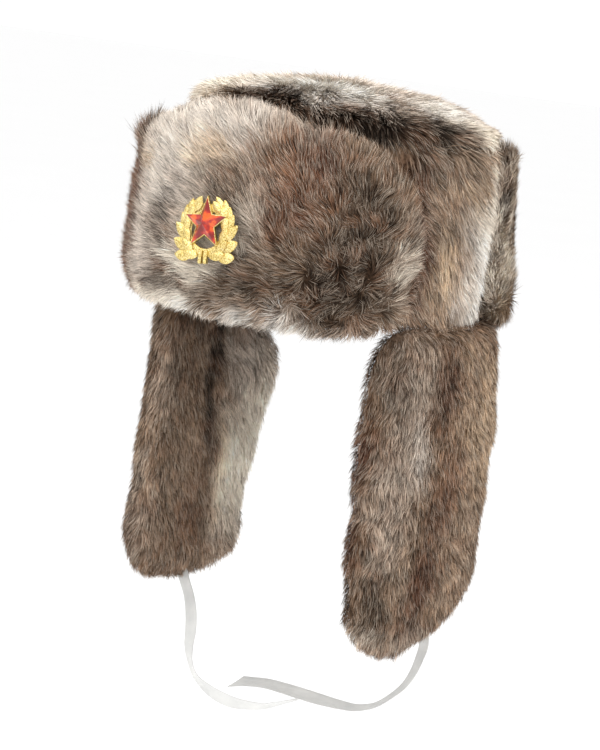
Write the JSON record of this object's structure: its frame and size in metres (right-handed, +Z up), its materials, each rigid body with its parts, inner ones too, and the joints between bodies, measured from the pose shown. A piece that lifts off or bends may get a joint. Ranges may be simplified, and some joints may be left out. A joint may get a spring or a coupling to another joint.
{
  "type": "cossack hat",
  "caption": "Fur cloth hat with turned-up front and back flaps, hanging ear flaps, ribbon ties and a star badge in a wreath.",
  "frame": {"origin": "centre of the head opening, in the plane of the rim, where the head goes in", "axes": "+Z up through the crown, -Y towards the front flap and its badge, +X towards the wearer's left"},
  "size_m": [0.2441, 0.2731, 0.4301],
  "materials": {
    "fur": "long-pile fur cloth, marled brown and grey with pale tips",
    "lining": "quilted satin lining",
    "gilt": "stamped and gilded, bright on the high spots",
    "enamel": "glossy red enamel over ridged metal",
    "ribbon": "satin ribbon, silver-white"
  },
  "bodies": {
    "root": {"crown_shell": "lining", "crown_top_fur": "fur", "crown_band_fur": "fur", "front_flap": "fur", "back_flap": "fur", "ear_flap_left": "fur", "ear_flap_right": "fur", "badge_frame": "gilt", "badge_enamel": "enamel", "tie_left": "ribbon", "tie_right": "ribbon"}
  },
  "joints": []
}
